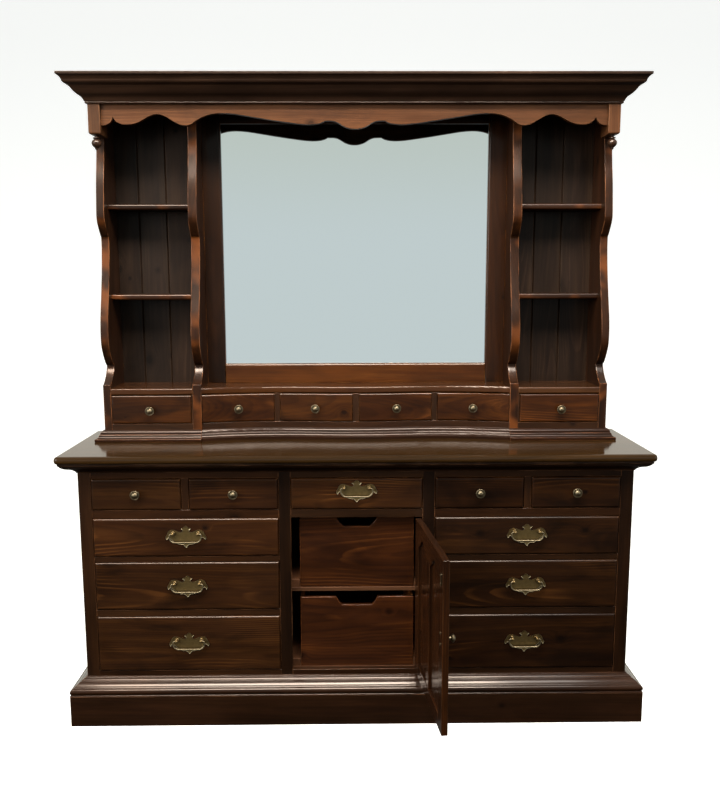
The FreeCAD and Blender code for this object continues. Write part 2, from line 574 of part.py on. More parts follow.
parts = []
hf, hr = P["hutch_front"], P["hutch_rear"]
h0, h1 = P["hutch_floor"], P["hutch_row_top"]
base = P["deck_high"]
NEAR, FAR, PIN = P["inner_near"], P["inner_far"], P["panel_in"]
for s in (-1, 1):
    def span(a, b):
        return (a, b) if s > 0 else ("-(%s)" % b, "-(%s)" % a)
    parts.append(box(*span("inner_far", "panel_in"), "hutch_front", "hutch_front+18", "deck_high", "hutch_floor", stem="rail"))
    parts.append(box(*span("inner_far", "inner_far+4"), "hutch_front", "hutch_front+18", "hutch_floor", "hutch_row_top", stem="stile"))
    floor = box(*span("inner_far", "panel_in"), "hutch_front-2", "hutch_rear-12", "hutch_row_top", "tower_floor", stem="floor")
    floor = rounded(floor, lambda b: near(b.YMin, hf - 2) and near(b.YMax, hf - 2) and b.XLength > 50, 5.0)
    parts.append(floor)
    parts.append(box(*span("inner_far", "panel_in"), "hutch_front+18", "hutch_rear-10", "hutch_floor-14", "hutch_floor", stem="bottom"))
parts.append(prism(serp_plan(-NEAR, NEAR, 0.0, 268.0), "XY", base, h0 - base, stem="rail"))
parts.append(box("-inner_near", "inner_near", 268, "hutch_rear-10", "hutch_floor-14", "hutch_floor", stem="bottom"))
for a, b in ((-266.5, -248.5), (-10.5, 10.5), (248.5, 266.5)):
    parts.append(prism(serp_plan(a, b, 0.0, 268.0), "XY", h0, h1 - h0, stem="stile"))
board = prism(serp_plan(-NEAR, NEAR, -2.0, hr - 15.0), "XY", h1, P["tower_floor"] - h1, stem="floor")
ready(board)
tf = P["tower_floor"]
board = rounded(board, lambda b: (near(b.ZMin, tf) or near(b.ZMin, h1)) and near(b.ZMin, b.ZMax) and b.YMax < 250 and b.XLength > 50, 5.0)
parts.append(board)
foot = [
    ("M", (0.0, 852.0)), ("L", (27.0, 852.0)), ("L", (27.0, 860.5)), ("L", (25.5, 861.5)), ("A", (18.5, 865.0), (15.5, 871.5)), ("L", (14.0, 874.0)), ("L", (12.0, 874.5)),
    ("L", (12.0, 877.5)), ("A", (8.0, 884.6), (2.5, 887.6)), ("L", (0.0, 888.0)),
]
hh = P["hutch_half"]
full = prism(mapped(foot, lambda p, z: (hf - p, z)), "YZ", -(hh + 32), 2 * (hh + 32))
for s in (-1, 1):
    plan = [("M", (s * (hh + 27), hf - 27)), ("L", (s * NEAR, hf - 27)), ("L", (s * NEAR, hf)), ("L", (s * hh, hf))]
    parts.append(common(full, prism(plan, "XY", 800, 200)))
parts += returns(foot, hh, hf, hr, 27.0, low=800, high=1000)
# centre foot moulding, swept along the serpentine line and trimmed between the towers
xs = 504.0
rail = [("M", (-xs, serp(-xs)))] + serp_arcs(-xs, xs, 0.0)
spine = sketch(rail, V(0, 0, base), PLANES["XY"], close=False)
a = slope(-xs)
prof = sketch(mapped(foot, lambda p, z: (p, z - base)), V(-xs, serp(-xs), base), Rot(V(math.sin(a), -math.cos(a), 0), V(0, 0, 1), V(-math.cos(a), -math.sin(a), 0), "ZXY"))
ready(spine)
ready(prof)
sweep = new("Part::Sweep", "swept")
sweep.Sections = [prof]
sweep.Spine = (spine, ["Edge%d" % i for i in range(1, len(spine.Shape.Edges) + 1)])
sweep.Solid = True
sweep.Frenet = False
sweep.Transition = "Right corner"
parts.append(common(sweep, box(-NEAR, NEAR, 150, 300, 852, 900)))
node("hutch_base_case", parts)

# scroll-edged side panels
SCROLL = [
    ("M", (hr, base)), ("L", (hf, base)), ("L", (hf, 1034.0)), ("L", (209.0, 1034.0)),
    ("S", (218.0, 1039.5), (231.0, 1049.5), (245.0, 1064.0), (255.5, 1079.0), (260.0, 1091.0)),
    ("L", (258.0, 1092.0)),
    ("S", (243.0, 1103.0), (230.5, 1118.0), (218.5, 1135.5), (208.5, 1155.0), (204.4, 1178.0), (204.6, 1205.0), (208.2, 1235.0), (215.0, 1265.0), (225.4, 1300.0), (236.0, 1340.0), (245.8, 1380.0), (253.6, 1420.0), (258.8, 1455.0), (261.0, 1482.0), (260.0, 1503.0)),
    ("L", (257.0, 1504.5)),
    ("S", (250.0, 1511.0), (238.5, 1524.5), (227.0, 1540.0), (219.6, 1555.0), (217.8, 1571.0), (221.0, 1600.0), (226.0, 1640.0), (232.4, 1680.0), (239.8, 1712.0), (246.4, 1744.0), (251.4, 1775.0), (256.0, 1806.0)),
    ("L", (256.0, P["hutch_high"])), ("L", (hr, P["hutch_high"])),
]
parts = []
for start, wide in ((-hh, hh - PIN), (-FAR, FAR - NEAR), (NEAR, FAR - NEAR), (PIN, hh - PIN)):
    parts.append(prism(SCROLL, "YZ", start, wide, stem="scroll_panel"))
node("hutch_scroll_panels", parts)

parts = []
for s in (-1, 1):
    for low, high in ((1303.0, 1322.0), (1588.0, 1607.0)):
        lo, hi = ("inner_far", "panel_in") if s > 0 else ("-panel_in", "-inner_far")
        shelf = box(lo, hi, 263, "hutch_rear-12", low, high, stem="shelf")
        parts.append(rounded(shelf, lambda b: near(b.YMin, 263) and near(b.YMax, 263) and b.XLength > 50, 7.0))
node("hutch_shelves", parts)

# back: three V-jointed planks in each tower, a low back behind the drawers and the board behind the mirror
parts = []
yb = hr - 12.0
for marks in ((-PIN, -714.0, -623.0, -FAR), (FAR, 597.0, 688.0, PIN)):
    for a, b in zip(marks, marks[1:]):
        plank = box(a, b, yb, hr, "tower_floor", "hutch_high", stem="plank")
        xs_in = [x for x in (a, b) if abs(abs(x) - PIN) > 1 and abs(abs(x) - FAR) > 1]
        parts.append(chamfered(plank, lambda bb: near(bb.YMax, yb) and bb.ZLength > 100 and any(near(bb.XMin, x) for x in xs_in), 3.2))
for a, b in (("-panel_in", "-inner_far"), ("-inner_near", "inner_near"), ("inner_far", "panel_in")):
    parts.append(box(a, b, "hutch_rear-10", "hutch_rear-2", "deck_high", "hutch_row_top", stem="low_back"))
parts.append(box("-inner_near", "inner_near", "hutch_rear-15", "hutch_rear-7", "hutch_row_top", "hutch_high", stem="mirror_board"))
node("hutch_back_boards", parts)

# mirror frame, with the glass in its rebate
gx, gz0, gz1 = 437.0, 1087.0, 1868.0
parts = []
for s in (-1, 1):
    plan = [("M", (s * NEAR, 345.0)), ("L", (s * (gx + 9), 345.0)), ("A", (s * (gx + 3.4), 346.6), (s * gx, 350.0)), ("L", (s * gx, 358.0)), ("L", (s * (gx + 9), 358.0)), ("L", (s * (gx + 9), 367.0)), ("L", (s * NEAR, 367.0))]
    parts.append(prism(plan, "XY", P["hutch_row_top"] + 21.0, P["hutch_high"] - P["hutch_row_top"] - 21.0, stem="stile"))
low = [("M", (345.0, 1022.0)), ("L", (345.0, gz0 - 9)), ("A", (346.6, gz0 - 3.4), (350.0, gz0)), ("L", (358.0, gz0)), ("L", (358.0, gz0 - 9)), ("L", (367.0, gz0 - 9)), ("L", (367.0, 1022.0))]
parts.append(prism(low, "YZ", -gx, 2 * gx, stem="rail"))
high = [("M", (345.0, P["hutch_high"])), ("L", (345.0, gz1 + 9)), ("A", (346.6, gz1 + 3.4), (350.0, gz1)), ("L", (358.0, gz1)), ("L", (358.0, gz1 + 9)), ("L", (367.0, gz1 + 9)), ("L", (367.0, P["hutch_high"]))]
parts.append(prism(high, "YZ", -gx, 2 * gx, stem="rail"))
node("mirror_frame", parts)
node("mirror_glass", [box(-(gx + 8), gx + 8, 358, 362, gz0 - 8, gz1 + 8, stem="glass")])

# scalloped valance between two end blocks with turned drops
EDGE = [
    [(0, 1825), (20, 1827.5), (36, 1833.5), (49, 1841.5), (60, 1846.8), (75, 1849.3), (92, 1849.5)],
    [(92, 1849.5), (104, 1843.5), (122, 1839.6), (148, 1838.5), (178, 1840.8), (212, 1845.2), (250, 1850.6), (290, 1856.8), (330, 1863.4), (368, 1869.2), (402, 1871.8), (430, 1870.8), (452, 1866.2), (472, 1858.4), (490, 1847.6), (503, 1839.4), (515, 1836.2), (528, 1836.6), (542, 1840.8), (558, 1849.2), (575, 1859.6), (590, 1866.2), (604, 1868.8), (618, 1867.0), (634, 1860.6), (652, 1850.6), (668, 1843.4), (684, 1839.4), (700, 1838.4), (716, 1840.2), (728, 1845.6), (735, 1852.0), (740, 1860.5)],
    [(740, 1860.5), (744.5, 1851.0), (751, 1843.2), (760, 1838.0), (776, 1835.5)],
]
right = [("S",) + tuple(seg[1:]) for seg in EDGE]
left_pts = [[(-a, b) for a, b in reversed(seg)] for seg in reversed(EDGE)]
path = [("M", (-776.0, P["hutch_high"])), ("L", left_pts[0][0])] + [("S",) + tuple(seg[1:]) for seg in left_pts] + right + [("L", (776.0, P["hutch_high"]))]
parts = [prism(path, "XZ", 208.0, 18.0, stem="valance")]
for s in (-1, 1):
    lo, hi = (776.0, hh) if s > 0 else (-hh, -776.0)
    lower = box(lo, hi, 177, 256, 1808, 1897, stem="block")
    corner = hh if s > 0 else -hh
    lower = rounded(lower, lambda b: (near(b.ZMin, 1808) and near(b.ZMax, 1808) and near(b.YMin, 177) and near(b.YMax, 177)) or (near(b.ZMin, 1808) and near(b.ZMax, 1808) and near(b.XMin, corner) and near(b.XMax, corner)), 6.0)
    upper = box(lo, hi, 190, 256, 1897, "hutch_high", stem="block")
    parts.append(fuse(lower, upper))
    drop = [
        ("M", (0.0, 1808.0)), ("L", (7.0, 1808.0)), ("L", (7.0, 1805.5)), ("A", (4.8, 1804.0), (5.0, 1801.5)), ("L", (9.4, 1800.2)), ("A", (10.4, 1798.6), (9.4, 1797.0)), ("L", (5.2, 1795.8)),
        ("S", (10.4, 1793.2), (14.2, 1788.2), (15.0, 1782.6), (12.8, 1776.4), (8.2, 1771.6), (5.2, 1769.2)),
        dome(5.2, 1769.2, 1763.0),
    ]
    x = s * (776.0 + hh) / 2
    parts.append(turned([(st[0],) + tuple((p[0], p[1] - 1808.0) for p in st[1:]) for st in drop], V(x, 195.0, 1808.0), V(1, 0, 0), V(0, 0, 1), stem="drop"))
node("valance", parts)

# crown cornice with returns, and the board that closes the top
crown_path = [
    ("M", (0.0, 1897.0)), ("L", (4.0, 1897.0)), ("A", (5.8, 1899.4), (5.0, 1902.2)), ("L", (7.6, 1904.0)), ("A", (13.0, 1913.6), (22.0, 1920.2)),
    ("A", (32.8, 1930.0), (40.8, 1942.2)), ("L", (42.6, 1944.0)), ("L", (48.4, 1946.0)), ("A", (54.8, 1949.4), (57.4, 1956.0)), ("L", (58.6, 1958.4)), ("A", (62.8, 1964.2), (68.4, 1968.4)),
    ("L", (70.6, 1969.4)), ("L", (70.6, 1975.0)), ("A", (70.0, 1976.4), (68.6, 1977.0)), ("L", (0.0, 1977.0)),
]
front_path = [("M", (-13.0, 1897.0))] + [("L", (0.0, 1897.0))] + crown_path[1:-1] + [("L", (-13.0, 1977.0))]
face = 177.0
parts = moulding(front_path, hh, face, 0.0, 70.6, low=1800, high=2000, behind=13.0)
parts += returns(crown_path, hh, face, P["deck_rear"] - 4.0, 70.6, low=1800, high=2000)
parts.append(box("-hutch_half", "hutch_half", 190, "hutch_rear", "hutch_high", "hutch_high+12", stem="top_board"))
node("cornice", parts)


# ---------------------------------------------------------------- small drawers of the hutch
def hutch_drawer(name, x0, x1, curved):
    g = P["gap"]
    lo, hi, z0, z1 = x0 + g, x1 - g, h0 + g, h1 - g
    if curved:
        back = 264.0
        f = prism(serp_plan(lo, hi, -3.5, back), "XY", z0, z1 - z0, stem="front")
        ready(f)
        f = rounded(f, lambda b: near(b.ZMin, b.ZMax) and b.YMin < 250 and b.XLength > 50 and b.YMax < 255, 5.0)
    else:
        back = 218.0
        f = box(lo, hi, hf - 3.5, back, z0, z1, stem="front")
        f = rounded(f, lambda b: near(b.YMin, hf - 3.5) and near(b.YMax, hf - 3.5), 5.0)
    a, b = x0 + 4, x1 - 4
    top = h1 - 11
    parts = [f]
    parts.append(box(a, a + 9, back, 355, h0 + 1, top, stem="side"))
    parts.append(box(b - 9, b, back, 355, h0 + 1, top, stem="side"))
    parts.append(box(a + 9, b - 9, 346, 355, h0 + 11, top - 4, stem="back"))
    parts.append(box(a + 9, b - 9, back, 355, h0 + 6, h0 + 11, stem="bottom"))
    return node(name, parts)


zh = 951.5
for s, side in ((-1, "left"), (1, "right")):
    def ends(a, b):
        return (a, b) if s > 0 else (-b, -a)
    a, b = ends(FAR + 4, PIN)
    hutch_drawer("hutch_drawer_tower_" + side, a, b, False)
    knob("hutch_knob_tower_" + side, s * 661.5, hf - 3.5, zh)
    a, b = ends(266.5, NEAR)
    hutch_drawer("hutch_drawer_outer_" + side, a, b, True)
    x = s * 383.0
    knob("hutch_knob_outer_" + side, x, serp(x) - 3.53, zh, slope(x))
    a, b = ends(10.5, 248.5)
    hutch_drawer("hutch_drawer_inner_" + side, a, b, True)
    x = s * 130.5
    knob("hutch_knob_inner_" + side, x, serp(x) - 3.53, zh, slope(x))

doc.recompute()

bad = [o.Name for o in doc.Objects if "Invalid" in o.State or "Error" in o.State]
if bad:
    raise SystemExit("not rebuilt: " + ", ".join(bad))

os.makedirs("parts", exist_ok=True)
for old in os.listdir("parts"):
    if old.endswith(".step") and old[:-5] not in nodes:
        os.remove(os.path.join("parts", old))
for name, o in sorted(nodes.items()):
    shape = o.Shape
    if shape.isNull() or not shape.isValid() or not shape.Solids:
        raise SystemExit("bad shape: " + name)
    for solid in shape.Solids:
        if solid.Volume < 5 or not solid.isValid() or not solid.isClosed() or min(f.Area for f in solid.Faces) < 1e-3:
            raise SystemExit("bad solid in " + name)
    shape.exportStep(os.path.join("parts", name + ".step"))
b = None
for o in nodes.values():
    if b is None:
        b = FreeCAD.BoundBox(o.Shape.BoundBox)
    else:
        b.add(o.Shape.BoundBox)
print(len(nodes), "pieces;", sum(len(o.Shape.Solids) for o in nodes.values()), "solids; box", b)
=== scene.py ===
import hashlib
import json
import math
import random

import bmesh
import bpy
import numpy as np
from mathutils import Matrix, Vector
from mathutils.geometry import delaunay_2d_cdt

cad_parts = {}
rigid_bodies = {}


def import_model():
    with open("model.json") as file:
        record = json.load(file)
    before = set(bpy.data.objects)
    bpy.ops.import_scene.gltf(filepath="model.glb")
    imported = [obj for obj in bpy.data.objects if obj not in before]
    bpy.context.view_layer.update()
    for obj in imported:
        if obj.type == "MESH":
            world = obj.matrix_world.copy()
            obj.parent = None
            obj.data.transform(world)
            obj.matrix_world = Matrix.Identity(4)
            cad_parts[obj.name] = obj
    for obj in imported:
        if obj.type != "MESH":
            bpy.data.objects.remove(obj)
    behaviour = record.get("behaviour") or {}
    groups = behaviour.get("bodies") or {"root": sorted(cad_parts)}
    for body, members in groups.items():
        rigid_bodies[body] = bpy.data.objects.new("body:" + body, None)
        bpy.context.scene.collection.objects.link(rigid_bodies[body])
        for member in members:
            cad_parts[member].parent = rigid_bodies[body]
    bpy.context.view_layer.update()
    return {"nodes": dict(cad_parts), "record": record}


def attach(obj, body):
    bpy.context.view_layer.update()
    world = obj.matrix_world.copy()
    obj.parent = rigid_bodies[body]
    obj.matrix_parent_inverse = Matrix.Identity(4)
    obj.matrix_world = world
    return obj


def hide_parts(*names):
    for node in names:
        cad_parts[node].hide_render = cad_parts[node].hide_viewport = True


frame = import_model()
nodes = frame["nodes"]
bodies_of = frame["record"]["behaviour"]["bodies"]
body_of = {n: b for b, ns in bodies_of.items() for n in ns}
scene = bpy.context.scene
SHIFT = 0.008          # the case's front plane stands at y = 8 mm
HINGE = Vector((0.1995, -0.006 + SHIFT, 0.0))
OPEN = math.radians(96.0)


# ------------------------------------------------------------------ node helpers
class Tree:
    """Short words for building a shader tree."""

    def __init__(self, tree):
        self.t = tree
        self.x = 0

    def node(self, kind, **props):
        n = self.t.nodes.new(kind)
        for k, v in props.items():
            setattr(n, k, v)
        return n

    def put(self, socket, value):
        if isinstance(value, bpy.types.NodeSocket):
            self.t.links.new(value, socket)
        elif value is not None:
            socket.default_value = value

    def math(self, op, a, b=None, c=None, clamp=False):
        n = self.node("ShaderNodeMath", operation=op, use_clamp=clamp)
        for i, v in enumerate((a, b, c)):
            if v is not None:
                self.put(n.inputs[i], v)
        return n.outputs[0]

    def vmath(self, op, a, b=None, scale=None):
        n = self.node("ShaderNodeVectorMath", operation=op)
        self.put(n.inputs[0], a)
        if b is not None:
            self.put(n.inputs[1], b)
        if scale is not None:
            self.put(n.inputs["Scale"], scale)
        return n.outputs["Value"] if op in ("LENGTH", "DOT_PRODUCT", "DISTANCE") else n.outputs["Vector"]

    def step(self, x, low, high, to_low=0.0, to_high=1.0):
        n = self.node("ShaderNodeMapRange", interpolation_type="SMOOTHSTEP")
        for i, v in enumerate((x, low, high, to_low, to_high)):
            self.put(n.inputs[i], v)
        return n.outputs[0]

    def line(self, x, low, high, to_low=0.0, to_high=1.0):
        n = self.node("ShaderNodeMapRange", interpolation_type="LINEAR")
        n.clamp = True
        for i, v in enumerate((x, low, high, to_low, to_high)):
            self.put(n.inputs[i], v)
        return n.outputs[0]

    def mix(self, f, a, b, kind="MIX"):
        n = self.node("ShaderNodeMix", data_type="RGBA", blend_type=kind)
        self.put(n.inputs[0], f)
        self.put(n.inputs[6], a)
        self.put(n.inputs[7], b)
        return n.outputs[2]

    def noise(self, vec, scale=1.0, detail=2.0, rough=0.5, dist=0.0, dims="3D"):
        n = self.node("ShaderNodeTexNoise", noise_dimensions=dims)
        self.put(n.inputs["Vector"], vec)
        n.inputs["Scale"].default_value = scale
        n.inputs["Detail"].default_value = detail
        n.inputs["Roughness"].default_value = rough
        n.inputs["Distortion"].default_value = dist
        return n.outputs[0]

    def xyz(self, v):
        n = self.node("ShaderNodeSeparateXYZ")
        self.put(n.inputs[0], v)
        return n.outputs[0], n.outputs[1], n.outputs[2]

    def vec(self, x, y, z):
        n = self.node("ShaderNodeCombineXYZ")
        for i, v in enumerate((x, y, z)):
            self.put(n.inputs[i], v)
        return n.outputs[0]

    def stretch(self, v, s):
        return self.vmath("MULTIPLY", v, s)


def fresh(name):
    m = bpy.data.materials.new(name)
    m.use_nodes = True
    m.node_tree.nodes.clear()
    t = Tree(m.node_tree)
    out = t.node("ShaderNodeOutputMaterial")
    p = t.node("ShaderNodeBsdfPrincipled")
    t.put(out.inputs["Surface"], p.outputs[0])
    return m, t, p


def rgb(r, g, b):
    """A colour given as it looks on a screen, 0 to 255, as linear light."""
    def lin(c):
        c = c / 255.0
        return c / 12.92 if c <= 0.04045 else ((c + 0.055) / 1.055) ** 2.4
    return (lin(r), lin(g), lin(b), 1.0)


def wood(name, light, mid, dark, worn, ring=0.0065, ring_power=0.6, streaks=0.55, knots=0.62, knot_size=1.0, rough=0.34, coat=0.35, coat_rough=0.16, wear=0.65, blotch=0.35, smoke=0.5, glow=None, figure=0.0, spec=0.06, coat_ior=1.22, grain_bump=0.25, back=1.0, front_wear=0.0):
    """Stained knotty pine. wc is the board's own space in metres, x along the grain; bd holds the board's lightness and two random
    numbers; edge is 1 on the small rounded edges, where the stain is rubbed thin. Stain sinks into the soft early wood, so in places
    the hard late wood shows as thin lines of the lighter glow colour. Undersides are dull; back is the tone of the faces that look
    backwards, and front_wear the amount of rubbed patches on those that look forwards."""
    m, t, p = fresh(name)
    wc = t.node("ShaderNodeAttribute", attribute_name="wc").outputs["Vector"]
    bd = t.node("ShaderNodeAttribute", attribute_name="bd").outputs["Vector"]
    edge = t.node("ShaderNodeAttribute", attribute_name="edge").outputs["Fac"]
    b1, b2, b3 = t.xyz(bd)
    fx, fy, fz = t.xyz(t.node("ShaderNodeTexCoord").outputs["Normal"])
    below = t.step(fz, -0.92, -0.6, 1.0, 0.0)
    x, y, z = t.xyz(wc)
    # knots: one in some of the cells of a grid over the board's face
    cell = t.vec(t.math("MULTIPLY", x, 3.1), t.math("MULTIPLY", y, 6.5), t.math("MULTIPLY", b3, 7.0))
    vor = t.node("ShaderNodeTexVoronoi", voronoi_dimensions="2D", feature="F1")
    t.put(vor.inputs["Vector"], cell)
    vor.inputs["Scale"].default_value = 1.0
    vor.inputs["Randomness"].default_value = 0.85
    px, py, pz = t.xyz(vor.outputs["Position"])
    dx = t.math("SUBTRACT", x, t.math("DIVIDE", px, 3.1))
    dy = t.math("SUBTRACT", y, t.math("DIVIDE", py, 6.5))
    dx = t.math("MULTIPLY", dx, 0.78)
    d = t.math("SQRT", t.math("ADD", t.math("MULTIPLY", dx, dx), t.math("MULTIPLY", dy, dy)))
    wob = t.noise(t.stretch(wc, (90, 90, 90)), 1.0, 2.0)
    d = t.math("ADD", d, t.math("MULTIPLY", t.math("SUBTRACT", wob, 0.5), 0.004))
    c1, c2, c3 = t.xyz(vor.outputs["Color"])
    have = t.step(c1, knots - 0.02, knots + 0.02)
    size = t.math("MULTIPLY", t.line(c2, 0.0, 1.0, 0.004, 0.0125), knot_size)
    near = t.math("DIVIDE", d, size)
    bump_k = t.math("MULTIPLY", t.math("EXPONENT", t.math("MULTIPLY", t.math("MULTIPLY", near, near), -0.16)), have)
    # growth rings round a pith that lies off the board
    slow = t.noise(t.stretch(wc, (1.3, 6.0, 6.0)), 1.0, 2.0, 0.5)
    quick = t.noise(t.stretch(wc, (5.0, 34.0, 34.0)), 1.0, 2.0, 0.5)
    r = t.math("SQRT", t.math("ADD", t.math("MULTIPLY", y, y), t.math("MULTIPLY", z, z)))
    r = t.math("ADD", r, t.math("MULTIPLY", t.math("SUBTRACT", slow, 0.5), 0.042))
    r = t.math("ADD", r, t.math("MULTIPLY", t.math("SUBTRACT", quick, 0.5), 0.0045))
    r = t.math("ADD", r, t.math("MULTIPLY", bump_k, t.math("MULTIPLY", size, 1.9)))
    turn = t.math("FRACT", t.math("DIVIDE", r, ring))
    late = t.math("MULTIPLY", t.step(turn, 0.25, 0.88), t.step(turn, 0.9, 1.0, 1.0, 0.0))
    # wide early and late bands, then fine fibres
    band = t.math("FRACT", t.math("DIVIDE", r, ring * 4.3))
    band = t.math("MULTIPLY", t.step(band, 0.1, 0.75), t.step(band, 0.78, 1.0, 1.0, 0.0))
    streak = t.noise(t.stretch(wc, (1.6, 46.0, 46.0)), 1.0, 3.0, 0.6)
    fibre = t.noise(t.stretch(wc, (14.0, 420.0, 420.0)), 1.0, 2.0, 0.6)
    cloud = t.noise(t.stretch(wc, (3.2, 9.0, 9.0)), 1.0, 3.0, 0.55, 0.4)
    base = t.mix(t.line(streak, 0.32, 0.68), light, mid)
    base = t.mix(t.math("MULTIPLY", band, streaks), base, mid)
    zone = t.noise(t.stretch(wc, (2.3, 9.0, 9.0)), 1.0, 2.0, 0.5, 0.3)
    fig = t.step(zone, 0.47, 0.66)
    base = t.mix(t.math("MULTIPLY", t.math("MULTIPLY", late, ring_power), t.math("SUBTRACT", 1.0, fig)), base, dark)
    if glow is not None:
        thin = t.math("MULTIPLY", t.step(turn, 0.5, 0.9), t.step(turn, 0.92, 1.0, 1.0, 0.0))
        base = t.mix(t.math("MULTIPLY", t.math("MULTIPLY", thin, fig), figure), base, glow)
    base = t.mix(t.math("MULTIPLY", t.line(fibre, 0.45, 0.75), 0.3), base, dark)
    smog = t.noise(t.stretch(wc, (2.6, 8.0, 8.0)), 1.0, 4.0, 0.55, 0.9)
    base = t.mix(t.math("MULTIPLY", t.step(smog, 0.5, 0.68), smoke), base, dark)
    # a darker halo and the knot itself, with its own rings
    halo = t.math("MULTIPLY", t.step(near, 1.0, 2.6, 1.0, 0.0), have)
    base = t.mix(t.math("MULTIPLY", halo, 0.45), base, dark)
    inner = t.math("MULTIPLY", t.step(near, 0.82, 1.08, 1.0, 0.0), have)
    kr = t.math("FRACT", t.math("MULTIPLY", near, 3.4))
    kcol = t.mix(t.step(kr, 0.2, 0.9), tuple(0.55 * a + 0.1 * b for a, b in zip(dark[:3], mid[:3])) + (1.0,), tuple(0.55 * a for a in mid[:3]) + (1.0,))
    base = t.mix(inner, base, kcol)
    # uneven stain and the tone of the board
    g = t.math("MULTIPLY", t.line(cloud, 0.25, 0.75, 1.0 - blotch, 1.0 + blotch), b1)
    n = t.node("ShaderNodeCombineColor")
    t.put(n.inputs[0], g)
    t.put(n.inputs[1], t.math("MULTIPLY", g, t.line(b2, 0.0, 1.0, 0.93, 1.05)))
    t.put(n.inputs[2], t.math("MULTIPLY", g, t.line(b2, 0.0, 1.0, 0.85, 1.08)))
    base = t.mix(1.0, base, n.outputs[0], "MULTIPLY")
    rub = t.noise(t.stretch(wc, (9.0, 60.0, 60.0)), 1.0, 3.0, 0.6)
    rubbed = t.math("MULTIPLY", t.math("MULTIPLY", edge, t.step(rub, 0.36, 0.66)), wear)
    base = t.mix(rubbed, base, worn)
    if front_wear:
        patch = t.noise(t.stretch(wc, (11.0, 8.0, 8.0)), 1.0, 2.0, 0.45)
        patch = t.math("MULTIPLY", t.step(fy, -0.95, -0.6, 1.0, 0.0), t.step(patch, 0.48, 0.68))
        base = t.mix(t.math("MULTIPLY", patch, front_wear), base, tuple(a * b for a, b in zip(worn[:3], (0.95, 0.72, 0.4))) + (1.0,))
    tone = t.math("MULTIPLY", t.step(fy, 0.5, 0.9, 1.0, back), t.math("SUBTRACT", 1.0, t.math("MULTIPLY", below, 0.35)))
    n = t.node("ShaderNodeCombineColor")
    for i in range(3):
        t.put(n.inputs[i], tone)
    base = t.mix(1.0, base, n.outputs[0], "MULTIPLY")
    t.put(p.inputs["Base Color"], base)
    # satin lacquer, a little rougher in the open grain
    smear = t.noise(t.stretch(wc, (2.4, 7.0, 7.0)), 1.0, 3.0, 0.6)
    t.put(p.inputs["Roughness"], t.math("ADD", t.line(smear, 0.3, 0.7, rough - 0.05, rough + 0.08), t.math("MULTIPLY", fibre, 0.06)))
    p.inputs["Specular IOR Level"].default_value = spec
    p.inputs["Coat IOR"].default_value = coat_ior
    t.put(p.inputs["Coat Weight"], t.math("MULTIPLY", t.math("SUBTRACT", 1.0, t.math("MULTIPLY", below, 0.95)), coat))
    p.inputs["Coat Roughness"].default_value = coat_rough
    bump = t.node("ShaderNodeBump")
    bump.inputs["Strength"].default_value = grain_bump
    bump.inputs["Distance"].default_value = 0.0006
    h = t.math("ADD", t.math("MULTIPLY", fibre, 0.5), t.math("MULTIPLY", late, 0.35))
    h = t.math("SUBTRACT", h, t.math("MULTIPLY", inner, 0.5))
    t.put(bump.inputs["Height"], h)
    t.put(p.inputs["Normal"], bump.outputs[0])
    return m


def brass(name, bright, dull, rim, rough=0.4, coat=0.35):
    """Old brass that has browned on its flats and in its hollows and is rubbed pale on its rims."""
    m, t, p = fresh(name)
    pos = t.node("ShaderNodeNewGeometry").outputs["Position"]
    edge = t.node("ShaderNodeAttribute", attribute_name="edge").outputs["Fac"]
    spots = t.noise(t.stretch(pos, (70, 70, 70)), 1.0, 4.0, 0.65)
    fine = t.noise(t.stretch(pos, (420, 420, 420)), 1.0, 3.0, 0.6)
    ao = t.node("ShaderNodeAmbientOcclusion", samples=4)
    ao.inputs["Distance"].default_value = 0.008
    hollow = t.step(ao.outputs["AO"], 0.45, 0.95, 1.0, 0.0)
    age = t.math("ADD", t.math("MULTIPLY", t.line(spots, 0.4, 0.75), 0.5), t.math("MULTIPLY", hollow, 0.75), clamp=True)
    base = t.mix(age, bright, dull)
    t.put(p.inputs["Base Color"], t.mix(t.math("MULTIPLY", edge, 0.85), base, rim))
    p.inputs["Metallic"].default_value = 1.0
    t.put(p.inputs["Roughness"], t.math("ADD", t.line(spots, 0.3, 0.8, rough - 0.06, rough + 0.14), t.math("MULTIPLY", fine, 0.08)))
    p.inputs["Coat Weight"].default_value = coat
    p.inputs["Coat Roughness"].default_value = 0.25
    bump = t.node("ShaderNodeBump")
    bump.inputs["Strength"].default_value = 0.25
    bump.inputs["Distance"].default_value = 0.0004
    t.put(bump.inputs["Height"], t.math("ADD", spots, t.math("MULTIPLY", fine, 0.5)))
    t.put(p.inputs["Normal"], bump.outputs[0])
    return m


# ------------------------------------------------------------------ materials
M = {}
M["rails"] = wood("face_frame_pine", rgb(60, 35, 17), rgb(46, 26, 12), rgb(22, 11, 6), rgb(128, 84, 54), streaks=0.45, ring_power=0.22, knots=0.8, rough=0.34, coat=1.0, coat_rough=0.16, smoke=0.4)
M["lip"] = wood("hutch_lip_pine", rgb(84, 50, 24), rgb(64, 36, 16), rgb(34, 18, 8), rgb(140, 98, 60), streaks=0.5, ring_power=0.2, knots=0.85, rough=0.32, coat=1.0, coat_rough=0.14, smoke=0.25, grain_bump=0.08, blotch=0.2)
M["front"] = wood("front_pine", rgb(57, 32, 12), rgb(38, 19, 7), rgb(13, 6, 3), rgb(117, 77, 46), glow=rgb(97, 58, 26), figure=0.5, streaks=0.55, ring_power=0.28, knots=0.58, rough=0.34, coat=1.0, coat_rough=0.16, smoke=0.62, blotch=0.4)
